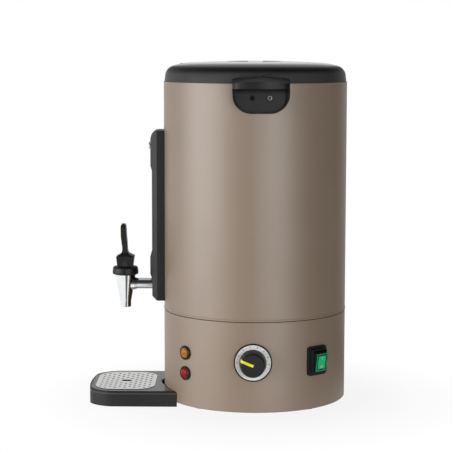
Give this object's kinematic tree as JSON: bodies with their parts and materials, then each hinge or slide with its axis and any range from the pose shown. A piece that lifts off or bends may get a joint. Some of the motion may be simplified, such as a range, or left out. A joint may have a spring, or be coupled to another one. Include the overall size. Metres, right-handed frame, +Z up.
{
  "type": "hot water urn",
  "caption": "Round electric hot water urn: heated tank in a painted shell on a control base, with lever tap, water gauge, scoop handles, lift-off lid and slide-out drip tray.",
  "frame": {"origin": "on the tank's axis at table level, between the rubber feet", "axes": "+Z up along the tank's axis; the tap and the drip tray point along -Y; the dial faces +X"},
  "size_m": [0.2978, 0.3425, 0.4513],
  "materials": {
    "taupe_paint": "satin powder coat, warm grey-brown",
    "zinc_steel": "zinc plated",
    "rubber": "matt black",
    "black_plastic": "fine satin grain, black",
    "black_gloss": "semi-gloss black",
    "stainless": "brushed",
    "insulation": "mineral fibre felt",
    "aluminium": "as rolled",
    "element_steel": "dark annealed",
    "bakelite": "matt ivory",
    "brass": "machined",
    "red_plastic": "glossy red",
    "wire_sleeve": "silicone sleeving, blue",
    "scale_silver": "matt silver with dark marks",
    "lime": "lime yellow",
    "amber_lens": "translucent amber",
    "red_lens": "translucent red",
    "green_plastic": "translucent green, lit",
    "gauge_glass": "clear",
    "chrome": "polished",
    "silicone": "food grade silicone"
  },
  "bodies": {
    "urn": {"base_shell": "taupe_paint", "base_plate": "zinc_steel", "feet": "rubber", "foot_screws": "zinc_steel", "foot_nuts": "zinc_steel", "joint_ring": "black_plastic", "deck_plate": "zinc_steel", "upper_shell": "taupe_paint", "rim_ring": "black_plastic", "inner_tank": "stainless", "tank_stand": "zinc_steel", "insulation_jacket": "insulation", "heat_plate": "aluminium", "heating_element": "element_steel", "thermostat_body": "bakelite", "limiter_body": "bakelite", "bush_nuts": "brass", "capillaries": "brass", "terminal_block": "bakelite", "wiring": "wire_sleeve", "cord_gland": "black_plastic", "gland_nuts": "black_plastic", "dial_rim": "black_plastic", "scale_ring": "scale_silver", "lamp_bezels": "black_gloss", "lamp_bodies": "black_plastic", "lens_amber": "amber_lens", "lens_red": "red_lens", "switch_frame": "black_gloss", "switch_body": "black_plastic", "handle_right": "black_plastic", "handle_left": "black_plastic", "handle_screws": "zinc_steel", "shell_nuts": "zinc_steel", "gauge_panel": "black_plastic", "gauge_glass": "gauge_glass", "gauge_tee": "brass", "gauge_head": "brass", "gauge_seals": "silicone", "panel_screw": "chrome", "tap_shank": "chrome", "shank_washers": "silicone", "shank_nut": "stainless", "tap_body": "chrome", "bonnet": "black_plastic"},
    "lid": {"lid_shell": "black_plastic", "lid_liner": "stainless", "lid_seal": "silicone", "lid_vent": "black_plastic"},
    "dial_knob": {"knob": "black_gloss", "knob_pointer": "lime", "thermostat_shaft": "brass"},
    "power_rocker": {"rocker": "green_plastic"},
    "reset": {"reset_button": "red_plastic"},
    "valve": {"valve_stem": "stainless", "seat_cup": "silicone"},
    "tap_lever": {"lever": "black_plastic", "lever_insert": "lime"},
    "tray": {"drip_tray": "black_plastic"},
    "grille": {"drip_grille": "stainless"}
  },
  "joints": [
    {"name": "lid_lift", "type": "slide", "parent": "urn", "child": "lid", "axis": [0, 0, 1], "range_m": [0, 0.15]},
    {"name": "knob_turn", "type": "hinge", "parent": "urn", "child": "dial_knob", "pos_m": [0.13499, -0.00188, 0.0707], "axis": [0.9999, -0.014, 0], "range_deg": [-163, 22]},
    {"name": "rocker_tilt", "type": "hinge", "parent": "urn", "child": "power_rocker", "pos_m": [0.09269, 0.08086, 0.0685], "axis": [-0.6574, 0.7536, 0], "range_deg": [-16, 0]},
    {"name": "reset_press", "type": "slide", "parent": "urn", "child": "reset", "axis": [0.9659, -0.2588, 0], "range_m": [0, 0.0015], "stiffness_N_per_m": 300, "springref_m": -0.002},
    {"name": "valve_lift", "type": "slide", "parent": "urn", "child": "valve", "axis": [0, 0, 1], "range_m": [0, 0.00505]},
    {"name": "lever_pull", "type": "hinge", "parent": "valve", "child": "tap_lever", "pos_m": [0, -0.1733, 0.1808], "axis": [1, 0, 0], "range_deg": [0, 29], "stiffness_Nm_per_rad": 0.3, "springref_deg": -22.92},
    {"name": "tray_slide", "type": "slide", "parent": "urn", "child": "tray", "axis": [0, -1, 0], "range_m": [0, 0.12]},
    {"name": "grille_lift", "type": "slide", "parent": "tray", "child": "grille", "axis": [0, 0, 1], "range_m": [0, 0.06]}
  ],
  "couplings": [
    {"joint": "lever_pull", "follows": "valve_lift", "rad_per_m": 96.62}
  ]
}
